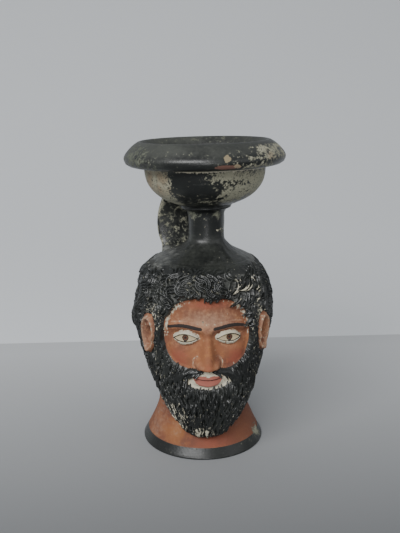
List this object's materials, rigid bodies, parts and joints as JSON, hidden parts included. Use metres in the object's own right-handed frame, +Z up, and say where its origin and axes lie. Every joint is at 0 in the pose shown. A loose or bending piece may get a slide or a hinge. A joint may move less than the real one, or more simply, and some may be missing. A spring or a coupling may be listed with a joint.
{
  "type": "head aryballos",
  "caption": "Small oil vase of painted terracotta: a bearded head on a flared foot, with a narrow neck, a cupped mouth and a strap handle behind.",
  "frame": {"origin": "on the ground under the centre of the lip", "axes": "+Z up through the neck and mouth, -Y the way the face looks, +Y towards the handle, +X the viewer's right"},
  "size_m": [0.0767, 0.0776, 0.1507],
  "materials": {
    "painted_terracotta": "black gloss slip and matt red-brown clay, worn"
  },
  "bodies": {
    "root": {"head_aryballos": "painted_terracotta"}
  },
  "joints": []
}
